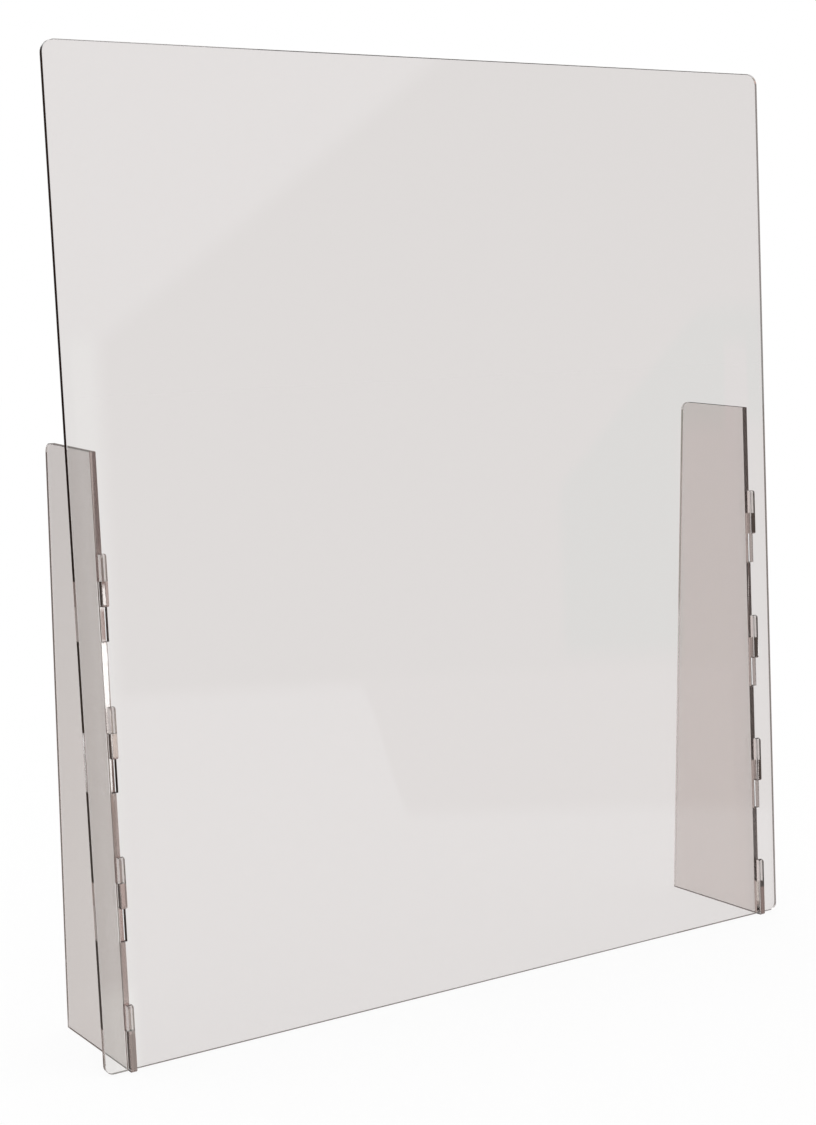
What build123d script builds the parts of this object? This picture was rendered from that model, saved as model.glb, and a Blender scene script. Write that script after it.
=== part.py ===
from build123d import *

import os

# Countertop sneeze guard, flat-packed: one clear upright panel that hangs on two clear supports.
# Millimetres. +X is to the right, +Y is away from the customer, +Z is up.
# The origin is on the counter, at the centre of the guard's footprint.

# ---- Driving dimensions ----
PANEL_WIDTH = 806.45            # 31 3/4 in
PANEL_HEIGHT = 914.4            # 36 in
SHEET_THICKNESS = 6.0           # nominal 1/4 in sheet, panel and supports alike
PANEL_TOP_RADIUS = 12.0         # upper two corners
PANEL_BOTTOM_RADIUS = 8.0       # lower two corners
PANEL_BOTTOM_GAP = 0.5          # between the panel's bottom edge and the counter

OVERALL_DEPTH = 152.4           # 6 in, from the front of the hooks to the rear of the supports
SUPPORT_FRONT_HEIGHT = 561.5    # the top edge falls slightly towards the panel
SUPPORT_REAR_HEIGHT = 568.0
SUPPORT_TOP_DEPTH = 102.0       # behind the panel, at the support's top edge
SUPPORT_TOP_RADIUS = 9.0        # top rear corner
SUPPORT_INSET = 22.2            # from the panel's side edge to the support's outer face

# The hooks, counted up from the foot. Each one has a neck that passes through the panel,
# and a finger that stands up in front of it.
HOOK_COUNT = 4
HOOK_PITCH = 136.5
FOOT_SLOT_TOP = 37.5            # height at which the lowest slot's top rests on the foot's neck
NECK_HEIGHT = 22.5
FINGER_RISE = 24.5              # above the neck
FINGER_THICKNESS = 5.65
FINGER_TOP_RADIUS = 2.5
FINGER_BACK_RADIUS = 1.0        # lead-in beside the panel
NECK_BOTTOM_RADIUS = 2.0
SLOT_HEIGHT = 54.0              # taller than a whole hook, so that the hook can go in

# ---- Clearances ----
SLOT_SIDE_GAP = 0.3             # each side of a support in its slot
PANEL_BACK_GAP = 0.1            # panel to the supports' front edges
PANEL_FRONT_GAP = 0.25          # panel to the fingers
EDGE_BREAK = 0.35               # the polished edges' small chamfer

# ---- Worked out from the above ----
HOOK_REACH = PANEL_BACK_GAP + SHEET_THICKNESS + PANEL_FRONT_GAP + FINGER_THICKNESS
SUPPORT_BASE_DEPTH = OVERALL_DEPTH - HOOK_REACH
SUPPORT_FRONT_Y = HOOK_REACH - OVERALL_DEPTH / 2
PANEL_BACK_Y = SUPPORT_FRONT_Y - PANEL_BACK_GAP
SUPPORT_X = PANEL_WIDTH / 2 - SUPPORT_INSET - SHEET_THICKNESS / 2


def slot_top(step):
    """Height of the top of slot number step, which is also the top of that hook's neck."""
    return FOOT_SLOT_TOP + step * HOOK_PITCH


def upright_box(back, front, bottom, top):
    """A rectangle in a support's plane: back and front are counted forwards from its front edge."""
    middle = Pos(-(back + front) / 2, (bottom + top) / 2)
    return middle * Rectangle(front - back, top - bottom)


def near(sketch, forward, height):
    """The corner of a sketch that lies closest to a point, given as for upright_box."""
    return sketch.vertices().sort_by_distance(Vector(-forward, height))[0]


def hook_outline(step):
    """The neck and finger of one hook. The foot's neck goes down to the counter."""
    top = slot_top(step)
    bottom = 0 if step == 0 else top - NECK_HEIGHT
    finger_top = top + FINGER_RISE
    finger_back = HOOK_REACH - FINGER_THICKNESS
    neck = upright_box(0, HOOK_REACH, bottom, top)
    finger = upright_box(finger_back, HOOK_REACH, bottom, finger_top)
    hook = fillet(near(neck + finger, HOOK_REACH, finger_top), FINGER_TOP_RADIUS)
    hook = fillet(near(hook, finger_back, finger_top), FINGER_BACK_RADIUS)
    return fillet(near(hook, HOOK_REACH, bottom), NECK_BOTTOM_RADIUS)


def support_outline():
    """The whole support as seen from its side: X counts back from its front edge, Y is up."""
    top_rear = (SUPPORT_TOP_DEPTH, SUPPORT_REAR_HEIGHT)
    corners = [(0, 0), (SUPPORT_BASE_DEPTH, 0), top_rear, (0, SUPPORT_FRONT_HEIGHT)]
    plate = make_face(Polyline(*corners, close=True))
    plate = fillet(near(plate, -SUPPORT_TOP_DEPTH, SUPPORT_REAR_HEIGHT), SUPPORT_TOP_RADIUS)
    for step in range(HOOK_COUNT):
        plate += hook_outline(step)
    return plate


def break_edges(plate, axis):
    """Chamfers the outline of both large faces of a plate that is square to axis."""
    faces = plate.faces().sort_by(axis)
    return chamfer(faces[0].edges() + faces[-1].edges(), EDGE_BREAK)


def make_support(side):
    """One support, standing on the counter at side -1 (left) or 1 (right)."""
    seat = Plane(origin=(side * SUPPORT_X, SUPPORT_FRONT_Y, 0), x_dir=(0, 1, 0), z_dir=(1, 0, 0))
    plate = extrude(seat * support_outline(), amount=SHEET_THICKNESS / 2, both=True)
    return break_edges(plate, Axis.X)


def slot_cut(side, step):
    """One slot of the panel. The lowest one is open at the panel's bottom edge."""
    top = slot_top(step)
    bottom = PANEL_BOTTOM_GAP - SHEET_THICKNESS if step == 0 else top - SLOT_HEIGHT
    width = SHEET_THICKNESS + 2 * SLOT_SIDE_GAP
    return Pos(side * SUPPORT_X, (bottom + top) / 2) * Rectangle(width, top - bottom)


def panel_blank():
    """The panel's outline before its slots are cut: X is to the right, Y is up."""
    blank = Pos(0, PANEL_BOTTOM_GAP + PANEL_HEIGHT / 2) * Rectangle(PANEL_WIDTH, PANEL_HEIGHT)
    blank = fillet(blank.vertices().sort_by(Axis.Y)[:2], PANEL_BOTTOM_RADIUS)
    return fillet(blank.vertices().sort_by(Axis.Y)[-2:], PANEL_TOP_RADIUS)


def make_panel():
    """The upright panel, with its slots."""
    outline = panel_blank()
    for side in (-1, 1):
        for step in range(HOOK_COUNT):
            outline -= slot_cut(side, step)
    back = Plane(origin=(0, PANEL_BACK_Y, 0), x_dir=(1, 0, 0), z_dir=(0, -1, 0))
    sheet = extrude(back * outline, amount=SHEET_THICKNESS)
    return break_edges(sheet, Axis.Y)


def main():
    os.makedirs("parts", exist_ok=True)
    export_step(make_panel(), "parts/shield_panel.step")
    export_step(make_support(-1), "parts/left_support.step")
    export_step(make_support(1), "parts/right_support.step")


main()
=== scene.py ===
import math

import bpy
from mathutils import Matrix

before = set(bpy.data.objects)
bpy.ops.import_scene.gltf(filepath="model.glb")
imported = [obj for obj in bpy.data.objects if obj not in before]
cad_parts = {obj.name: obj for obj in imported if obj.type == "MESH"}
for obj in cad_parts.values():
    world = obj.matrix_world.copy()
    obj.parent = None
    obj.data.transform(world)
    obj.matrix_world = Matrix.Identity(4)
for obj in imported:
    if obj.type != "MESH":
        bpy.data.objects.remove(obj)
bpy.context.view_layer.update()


# ---- Node helpers ----
def feed(tree, socket, value):
    """Puts a number, a colour or another node's output on an input."""
    if isinstance(value, bpy.types.NodeSocket):
        tree.links.new(value, socket)
    elif socket.type == "RGBA":
        socket.default_value = (*value, 1.0)
    else:
        socket.default_value = value


def calc(tree, operation, *values):
    made = tree.nodes.new("ShaderNodeMath")
    made.operation = operation
    for socket, value in zip(made.inputs, values):
        feed(tree, socket, value)
    return made.outputs[0]


def product(tree, first, *others):
    for other in others:
        first = calc(tree, "MULTIPLY", first, other)
    return first


def stretch(tree, value, low, high, to_low=0.0, to_high=1.0, kind="SMOOTHSTEP"):
    """Maps low..high on to to_low..to_high, with soft ends."""
    made = tree.nodes.new("ShaderNodeMapRange")
    made.interpolation_type = kind
    for name, number in (("From Min", low), ("From Max", high), ("To Min", to_low), ("To Max", to_high)):
        made.inputs[name].default_value = number
    feed(tree, made.inputs["Value"], value)
    return made.outputs["Result"]


def between(tree, value, low, high, soft):
    """1 inside low..high, 0 outside, over edges that are soft wide."""
    rise = stretch(tree, value, low - soft / 2, low + soft / 2)
    fall = stretch(tree, value, high - soft / 2, high + soft / 2, 1.0, 0.0)
    return product(tree, rise, fall)


def mix_numbers(tree, factor, first, second):
    made = tree.nodes.new("ShaderNodeMix")
    float_a, float_b, float_result = made.inputs[2], made.inputs[3], made.outputs[0]
    feed(tree, made.inputs["Factor"], factor)
    feed(tree, float_a, first)
    feed(tree, float_b, second)
    return float_result


def blend(tree, factor, first, second):
    """Goes from the first colour to the second as factor goes from 0 to 1."""
    made = tree.nodes.new("ShaderNodeMix")
    made.data_type = "RGBA"
    colour_a, colour_b, colour_result = made.inputs[6], made.inputs[7], made.outputs[2]
    feed(tree, made.inputs["Factor"], factor)
    feed(tree, colour_a, first)
    feed(tree, colour_b, second)
    return colour_result


def scaled(tree, colour, factor):
    made = tree.nodes.new("ShaderNodeVectorMath")
    made.operation = "SCALE"
    feed(tree, made.inputs[0], colour)
    feed(tree, made.inputs["Scale"], factor)
    return made.outputs[0]


def gradient(tree, value, low, high, stops):
    """Colours along low..high; stops are (value, colour), the two ends first."""
    made = tree.nodes.new("ShaderNodeValToRGB")
    made.color_ramp.interpolation = "EASE"
    steps = made.color_ramp.elements
    for index, (place, colour) in enumerate(stops):
        where = (place - low) / (high - low)
        step = steps[index] if index < 2 else steps.new(where)
        step.position = where
        step.color = (*colour, 1.0)
    feed(tree, made.inputs["Fac"], stretch(tree, value, low, high, kind="LINEAR"))
    return made.outputs["Color"]


def noise(tree, place, scale, detail):
    made = tree.nodes.new("ShaderNodeTexNoise")
    made.inputs["Scale"].default_value = scale
    made.inputs["Detail"].default_value = detail
    tree.links.new(place, made.inputs["Vector"])
    return made.outputs["Fac"]


def empty_tree(owner):
    """Clears the owner's nodes and gives back the tree."""
    owner.use_nodes = True
    owner.node_tree.nodes.clear()
    return owner.node_tree


def grey(level):
    return (level, level, level)


# ---- Clear sheet ----
ACRYLIC_IOR = 1.49
PANEL_TINT = (0.777, 0.752, 0.745, 1.0)      # what the two polished faces let through
SUPPORT_TINT = (0.765, 0.731, 0.717, 1.0)
ABSORPTION_PER_M = 4.0
ABSORPTION_COLOUR = (0.38, 0.2, 0.14, 1.0)   # the share of that which isn't absorbed, so long paths look brown
FACE_ROUGHNESS = (0.0, 0.015)
EDGE_ROUGHNESS = (0.0, 0.02)
EDGE_STARTS = (0.9, 0.99)                    # how square to the sheet a face's normal is, edge to full face
HAIRLINES_PER_M = (900.0, 900.0, 30.0)
HAIRLINE_TURN = (0.3, 0.5, 0.2)
HAIRLINE_DETAIL = 3.0
RUBBED_SHARE = (0.62, 0.8)                   # only the peaks of the noise dull a face
SAWN_SHARE = (0.3, 0.7)                      # most of it dulls a cut edge
WAVES_PER_M = 9.0
WAVE_DETAIL = 2.0
WAVE_STRENGTH = 0.08
WAVE_HEIGHT = 0.0002
X_AXIS, Y_AXIS = 0, 1


def clear_sheet(name, tint, thin_axis, shift):
    """Clear acrylic: polished faces with faint hairlines, and slightly duller cut edges."""
    material = bpy.data.materials.new(name)
    tree = empty_tree(material)
    out = tree.nodes.new("ShaderNodeOutputMaterial")
    shader = tree.nodes.new("ShaderNodeBsdfPrincipled")
    shader.inputs["Base Color"].default_value = tint
    shader.inputs["Transmission Weight"].default_value = 1.0
    shader.inputs["IOR"].default_value = ACRYLIC_IOR
    place = tree.nodes.new("ShaderNodeTexCoord")

    split = tree.nodes.new("ShaderNodeSeparateXYZ")
    tree.links.new(place.outputs["Normal"], split.inputs[0])
    square_on = calc(tree, "ABSOLUTE", split.outputs[thin_axis])
    on_edge = stretch(tree, square_on, *EDGE_STARTS, 1.0, 0.0)

    turned = tree.nodes.new("ShaderNodeMapping")
    turned.inputs["Location"].default_value = (shift, shift, shift)
    turned.inputs["Rotation"].default_value = HAIRLINE_TURN
    turned.inputs["Scale"].default_value = HAIRLINES_PER_M
    tree.links.new(place.outputs["Object"], turned.inputs[0])
    hairlines = noise(tree, turned.outputs[0], 1.0, HAIRLINE_DETAIL)
    rubbed = stretch(tree, hairlines, *RUBBED_SHARE, *FACE_ROUGHNESS)
    sawn = stretch(tree, hairlines, *SAWN_SHARE, *EDGE_ROUGHNESS)
    tree.links.new(mix_numbers(tree, on_edge, rubbed, sawn), shader.inputs["Roughness"])

    bump = tree.nodes.new("ShaderNodeBump")
    bump.inputs["Strength"].default_value = WAVE_STRENGTH
    bump.inputs["Distance"].default_value = WAVE_HEIGHT
    waves = noise(tree, place.outputs["Object"], WAVES_PER_M, WAVE_DETAIL)
    tree.links.new(waves, bump.inputs["Height"])
    tree.links.new(bump.outputs[0], shader.inputs["Normal"])

    inside = tree.nodes.new("ShaderNodeVolumeAbsorption")
    inside.inputs["Color"].default_value = ABSORPTION_COLOUR
    inside.inputs["Density"].default_value = ABSORPTION_PER_M
    tree.links.new(shader.outputs[0], out.inputs["Surface"])
    tree.links.new(inside.outputs[0], out.inputs["Volume"])
    return material


def paint(node_name, material):
    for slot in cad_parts[node_name].material_slots:
        slot.material = material


panel_sheet = clear_sheet("panel_sheet", PANEL_TINT, Y_AXIS, 0.0)
support_sheet = clear_sheet("support_sheet", SUPPORT_TINT, X_AXIS, 3.7)
paint("shield_panel", panel_sheet)
paint("left_support", support_sheet)
paint("right_support", support_sheet)


# ---- Studio ----
# The backdrop is plain white. What the sheets mirror is painted by heading and height: heading in degrees
# clockwise from the rear (180 is straight behind the customer), height in degrees above the horizon.
BACKDROP = grey(1.0)

SIDE_CARD, SIDE_CARD_RIM, PINK_CARD = (-60, -41.9), (-41.9, -41.5), (-41.9, -33)
REAR_LEFT = (-33, -5)

SCREEN = (100, 175)
SCREEN_COLOUR, SCREEN_LOW_COLOUR, SCREEN_GREEN = (0.5, 0.49, 0.45), (0.64, 0.6, 0.57), (0.2, 0.4, 0.33)
SCREEN_SLOPE, SCREEN_TOP = 0.75, (118.1, 119.1)
SCREEN_STEP, SCREEN_FOOT = (148.5, 150), (-13.6, -9.7)
GREEN_LEFT, GREEN_MIDDLE, GREEN_RIGHT = 143.7, 140.2, 137   # left and right as the panel mirrors them
GREEN_TOP, GREEN_FOOT, GREEN_RIGHT_FOOT = 1, -9, -2.4
GREEN_SLOPE, GREEN_CORNER = 1.2, (168.0, 168.7)

KEY_CARD, KEY_CARD_END = (157.2, 172), (156.9, 157.9)
KEY_CARD_HEIGHTS = (-26, 1)
KEY_CARD_COLOUR, KEY_CARD_IN_EDGES, KEY_CARD_END_COLOUR = (0.9, 1.0, 0.95), (0.25, 0.21, 0.2), (0.84, 0.82, 0.81)

SLIT, SLIT_HEIGHTS = (138.13, 138.8), (-30, 0)
SLIT_IN_EDGES = (0.85, 0.78, 0.76)

REAR_WALL = (12, 52)


def patch(tree, heading, headings, height, heights, soft=1.0, soft_height=1.0):
    """1 inside a patch of the surroundings, 0 outside."""
    across = between(tree, heading, *headings, soft)
    return product(tree, across, between(tree, height, *heights, soft_height))


def with_rear_left(tree, room, heading, height):
    """The cards and the dim corner to the rear left, which the left-hand face of each support mirrors."""
    pink = gradient(tree, height, -40, 40, [
        (-40, (0.8, 0.75, 0.7)), (40, (1.0, 1.0, 1.0)), (-16, (0.75, 0.56, 0.5)), (-3, (0.65, 0.45, 0.44)),
        (8, (0.7, 0.6, 0.6))])
    corner = gradient(tree, height, -40, 40, [
        (-40, (0.6, 0.55, 0.5)), (40, (0.9, 0.9, 0.9)), (-20, (0.34, 0.28, 0.25)), (-16, (0.3, 0.25, 0.22)),
        (-11, (0.23, 0.17, 0.14)), (-7, (0.16, 0.12, 0.1)), (-3, (0.1, 0.06, 0.05)), (8, (0.15, 0.1, 0.08))])
    for headings, soft, colour in (
            (SIDE_CARD, 0.4, (0.36, 0.33, 0.32)),
            (PINK_CARD, 0.4, pink),
            (SIDE_CARD_RIM, 0.3, (0.5, 0.41, 0.38)),
            (REAR_LEFT, 6, corner)):
        room = blend(tree, between(tree, heading, *headings, soft), room, colour)
    return room


def with_screen(tree, room, heading, height):
    """The dim screen behind the customer to the right, with its slanted top, stepped foot and greenish end."""
    slant = calc(tree, "MULTIPLY_ADD", heading, SCREEN_SLOPE, height)
    under = stretch(tree, slant, *SCREEN_TOP, 1.0, 0.0)
    foot = stretch(tree, heading, *SCREEN_STEP, *SCREEN_FOOT)
    over = stretch(tree, calc(tree, "SUBTRACT", height, foot), -0.35, 0.35)
    screen = product(tree, under, over, between(tree, heading, *SCREEN, 4))

    green_left = patch(tree, heading, (GREEN_MIDDLE, GREEN_LEFT), height, (GREEN_FOOT, GREEN_TOP), 0.4)
    green_right = patch(tree, heading, (GREEN_RIGHT, GREEN_MIDDLE), height, (GREEN_RIGHT_FOOT, GREEN_TOP), 0.4)
    green_slant = calc(tree, "MULTIPLY_ADD", heading, GREEN_SLOPE, height)
    below_corner = stretch(tree, green_slant, *GREEN_CORNER, 1.0, 0.0)
    green = product(tree, calc(tree, "ADD", green_left, green_right), below_corner)
    colour = blend(tree, stretch(tree, height, -9.8, -9.2), SCREEN_LOW_COLOUR, SCREEN_COLOUR)
    return blend(tree, screen, room, blend(tree, green, colour, SCREEN_GREEN))


def with_lights(tree, room, heading, height, inside):
    """A card and a narrow light behind the customer to the right. In the cut edges the card looks dark but for
    one end, and the narrow light shows in the right-hand hooks."""
    card_level = stretch(tree, height, -18.6, -17.6, 3.0, 1.6)
    card = blend(tree, inside, scaled(tree, KEY_CARD_COLOUR, card_level), KEY_CARD_IN_EDGES)
    room = blend(tree, patch(tree, heading, KEY_CARD, height, KEY_CARD_HEIGHTS, 0.6), room, card)
    card_end = patch(tree, heading, KEY_CARD_END, height, KEY_CARD_HEIGHTS, 0.2)
    room = blend(tree, product(tree, inside, card_end), room, KEY_CARD_END_COLOUR)

    slit_level = stretch(tree, height, -14.1, -13.1, 1.0, 0.25)
    slit = blend(tree, inside, scaled(tree, grey(1.0), slit_level), SLIT_IN_EDGES)
    return blend(tree, patch(tree, heading, SLIT, height, SLIT_HEIGHTS, 0.06), room, slit)


def with_rear_wall(tree, room, heading, height):
    """The dim wall behind the guard to the right, which darkens its upward edges."""
    low_part = blend(tree, stretch(tree, heading, 32, 34), (0.4, 0.35, 0.33), (0.08, 0.06, 0.05))
    room = blend(tree, patch(tree, heading, REAR_WALL, height, (4, 12), 3), room, low_part)
    return blend(tree, patch(tree, heading, REAR_WALL, height, (12, 30), 3), room, (0.3, 0.26, 0.25))


def reflected_room(tree, heading, height, inside):
    """What a first mirroring shows. inside is 1 for light that has been through a sheet on its way, such as the
    mirror image in a cut edge."""
    room = gradient(tree, height, -90, 90, [
        (-90, grey(0.85)), (90, grey(1.8)), (-30, grey(0.9)), (-14, grey(1.0)), (-2, grey(0.9)), (12, grey(1.0)),
        (25, grey(1.4))])
    room = with_rear_left(tree, room, heading, height)
    room = with_screen(tree, room, heading, height)
    room = with_lights(tree, room, heading, height, inside)
    return with_rear_wall(tree, room, heading, height)


def piped_room(tree, heading, height, depth):
    """The light that reaches the cut edges after it has been guided along inside a sheet, over depth mirrorings."""
    room = gradient(tree, height, -90, 90, [
        (-90, grey(0.9)), (90, grey(1.0)), (-45, grey(0.7)), (-20, grey(0.5)), (-9, grey(0.36)), (0, grey(0.3)),
        (15, grey(0.5)), (35, grey(0.9))])
    room = scaled(tree, room, stretch(tree, depth, 6, 9, 1.0, 0.12))
    upward = product(tree, stretch(tree, depth, 4, 6), stretch(tree, height, 3, 7),
                     between(tree, heading, -70, 70, 4))
    room = blend(tree, upward, room, (0.42, 0.34, 0.32))

    glare, strip, haze, shade = (2.7, 3.0, 3.1), (1.65, 1.75, 1.78), (0.75, 0.65, 0.63), (0.25, 0.14, 0.13)
    brown, bright, dim, dark = (0.4, 0.3, 0.28), (1.05, 1.04, 1.0), (0.55, 0.5, 0.48), (0.1, 0.08, 0.07)
    rear_left = gradient(tree, height, -25, 0, [
        (-25, (0.6, 0.55, 0.53)), (0, shade), (-17, (0.5, 0.42, 0.4)), (-14.6, (0.6, 0.47, 0.43)), (-14.4, strip),
        (-12.2, strip), (-11.95, glare), (-10.1, glare), (-9.95, haze), (-9.15, haze), (-9.0, strip),
        (-8.5, strip), (-8.3, brown), (-7.4, brown), (-7.1, shade)])
    rear_right = gradient(tree, height, -25, 0, [
        (-25, haze), (0, haze), (-14.6, haze), (-14.5, (0.33, 0.27, 0.25)), (-13.6, (0.33, 0.27, 0.25)),
        (-13.5, (1.05, 1.0, 0.95)), (-11.8, (1.05, 1.0, 0.95)), (-11, haze)])
    far_right = gradient(tree, height, -25, 0, [(-25, bright), (0, dim), (-15.6, bright), (-14, dim)])

    twice = stretch(tree, depth, 2.4, 2.6, 1.0, 0.0)
    many = stretch(tree, depth, 3.4, 3.6)
    low = between(tree, height, -30, 2, 2)
    for when, headings, colour in (
            (many, (-33, 12), rear_left),
            (many, (12, 33), rear_right),
            (many, (12, 19), dark),
            (many, (-60, -33), dark),
            (many, (33, 60), dark),
            (twice, (33, 60), far_right)):
        zone = product(tree, low, between(tree, heading, *headings, 2))
        room = blend(tree, product(tree, when, zone), room, colour)
    thrice = calc(tree, "SUBTRACT", calc(tree, "SUBTRACT", 1.0, twice), many)
    return blend(tree, thrice, room, (0.45, 0.42, 0.4))


def studio_world():
    """Light seen directly, or only through the sheets, is the white backdrop. Mirrored light sees a room."""
    world = bpy.data.worlds.new("studio")
    bpy.context.scene.world = world
    tree = empty_tree(world)
    out = tree.nodes.new("ShaderNodeOutputWorld")
    back = tree.nodes.new("ShaderNodeBackground")
    path = tree.nodes.new("ShaderNodeLightPath")
    place = tree.nodes.new("ShaderNodeTexCoord")
    split = tree.nodes.new("ShaderNodeSeparateXYZ")
    tree.links.new(place.outputs["Generated"], split.inputs[0])
    degrees = 180 / math.pi
    height = calc(tree, "MULTIPLY", calc(tree, "ARCSINE", split.outputs["Z"]), degrees)
    heading = calc(tree, "MULTIPLY", calc(tree, "ARCTAN2", split.outputs["X"], split.outputs["Y"]), degrees)
    depth = path.outputs["Glossy Depth"]
    mirrored = calc(tree, "GREATER_THAN", depth, 0.5)
    guided = calc(tree, "GREATER_THAN", depth, 1.5)
    inside = calc(tree, "GREATER_THAN", path.outputs["Transmission Depth"], 0.5)
    mirror = reflected_room(tree, heading, height, inside)
    seen = blend(tree, guided, mirror, piped_room(tree, heading, height, depth))
    tree.links.new(blend(tree, mirrored, BACKDROP, seen), back.inputs["Color"])
    tree.links.new(back.outputs[0], out.inputs["Surface"])


FLOOR_SIZE = 80
FLOOR_GAP = 0.0003   # keeps the floor from lying in the supports' bottom faces
FLOOR_COLOUR = (0.1, 0.1, 0.1, 1)
FLOOR_GLOW = 0.9


def studio_floor():
    """White, and left out of everything that is mirrored, so that it only takes a faint contact shadow."""
    bpy.ops.mesh.primitive_plane_add(size=FLOOR_SIZE, location=(0, 0, -FLOOR_GAP))
    floor = bpy.context.object
    floor.name = "floor"
    material = bpy.data.materials.new("floor")
    tree = empty_tree(material)
    out = tree.nodes.new("ShaderNodeOutputMaterial")
    matt = tree.nodes.new("ShaderNodeBsdfDiffuse")
    matt.inputs["Color"].default_value = FLOOR_COLOUR
    glow = tree.nodes.new("ShaderNodeEmission")
    glow.inputs["Strength"].default_value = FLOOR_GLOW
    both = tree.nodes.new("ShaderNodeAddShader")
    gone = tree.nodes.new("ShaderNodeBsdfTransparent")
    either = tree.nodes.new("ShaderNodeMixShader")
    path = tree.nodes.new("ShaderNodeLightPath")
    tree.links.new(calc(tree, "GREATER_THAN", path.outputs["Glossy Depth"], 0.5), either.inputs[0])
    tree.links.new(matt.outputs[0], both.inputs[0])
    tree.links.new(glow.outputs[0], both.inputs[1])
    tree.links.new(both.outputs[0], either.inputs[1])
    tree.links.new(gone.outputs[0], either.inputs[2])
    tree.links.new(either.outputs[0], out.inputs["Surface"])
    floor.data.materials.append(material)


studio_world()
studio_floor()

# ---- Camera ----
CAMERA_PLACE = (-1.0343, -1.6479, 0.6331)
CAMERA_YAW, CAMERA_PITCH, CAMERA_ROLL = -0.553, -0.107, 0.044
CAMERA_LENS = 61.6
SENSOR_WIDTH = 36.0


def make_camera():
    data = bpy.data.cameras.new("camera")
    camera = bpy.data.objects.new("camera", data)
    bpy.context.collection.objects.link(camera)
    data.sensor_width = SENSOR_WIDTH
    data.sensor_fit = "AUTO"
    data.lens = CAMERA_LENS
    yaw = Matrix.Rotation(CAMERA_YAW, 3, "Z")
    pitch = Matrix.Rotation(CAMERA_PITCH, 3, "X")
    roll = Matrix.Rotation(CAMERA_ROLL, 3, "Y")
    turn = yaw @ pitch @ roll
    right, ahead, up = turn.col
    looks = Matrix((right, up, -ahead)).transposed()
    camera.matrix_world = Matrix.Translation(CAMERA_PLACE) @ looks.to_4x4()
    bpy.context.scene.camera = camera


make_camera()
bpy.context.scene.view_settings.view_transform = "Standard"
cycles = bpy.context.scene.cycles
cycles.max_bounces = 32
cycles.glossy_bounces = 24
cycles.transmission_bounces = 24
